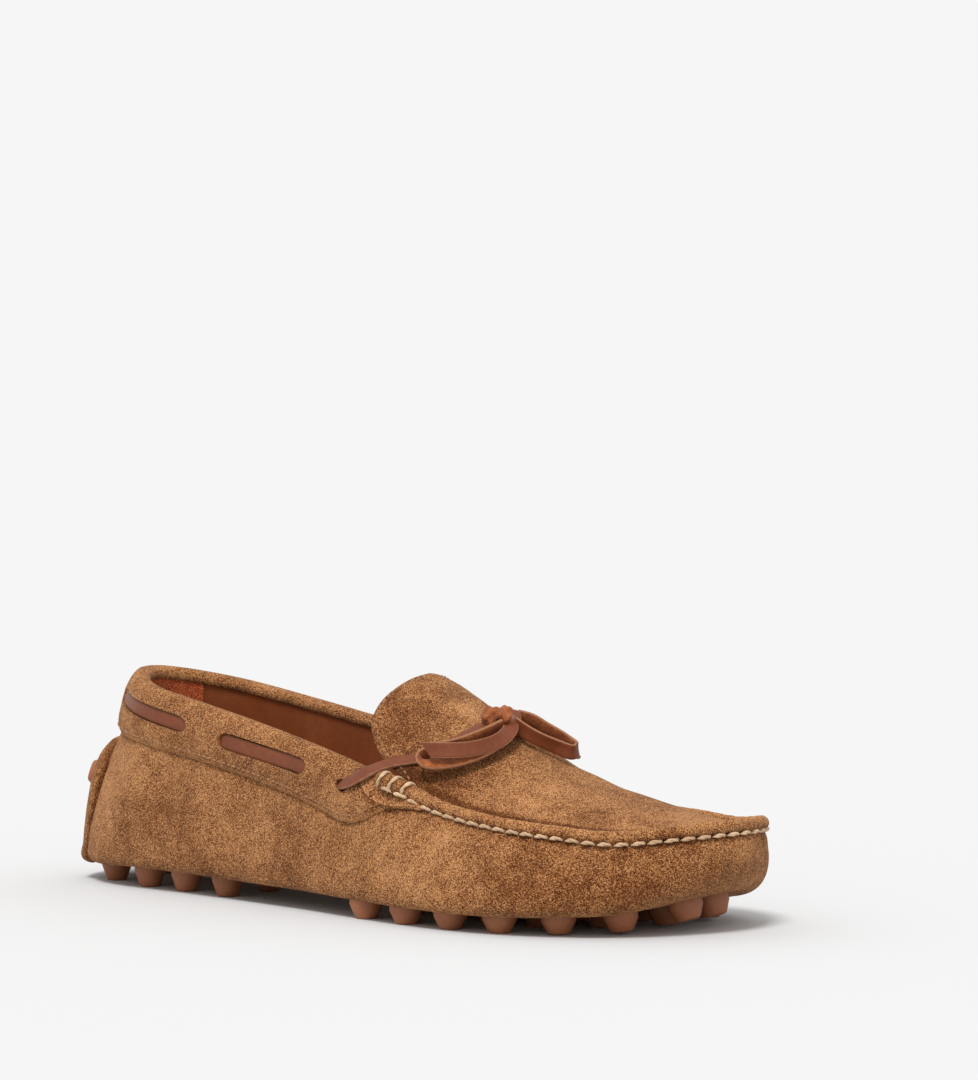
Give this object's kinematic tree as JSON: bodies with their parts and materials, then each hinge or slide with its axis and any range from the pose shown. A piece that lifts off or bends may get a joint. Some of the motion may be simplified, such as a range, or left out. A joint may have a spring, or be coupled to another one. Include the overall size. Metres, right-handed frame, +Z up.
{
  "type": "driving loafer",
  "caption": "Right suede driving loafer with a raised hand-sewn apron seam, a laced collar band tied in a leather bow, and a flexible sole of rubber studs.",
  "frame": {"origin": "on the floor under the middle of the shoe's box, the bow left out", "axes": "+X from heel to toe, +Y to the inner (medial) side of the foot, +Z up from the floor"},
  "size_m": [0.2812, 0.1012, 0.0776],
  "materials": {
    "suede": "napped suede",
    "rubber": "matte",
    "lining_leather": "smooth",
    "lace_leather": "smooth grain, rough flesh side"
  },
  "bodies": {
    "root": {"upper": "suede", "apron_tongue": "suede", "apron_seam": "suede", "collar_band": "suede", "heel_patch": "suede", "heel_stud_1": "rubber", "heel_stud_2": "rubber", "heel_stud_3": "rubber", "stud_sole": "rubber", "insole": "lining_leather", "lace_run": "lace_leather", "lace_knot": "lace_leather", "lace_loop_lateral": "lace_leather", "lace_end_lateral": "lace_leather", "lace_loop_medial": "lace_leather", "lace_end_medial": "lace_leather"}
  },
  "joints": []
}
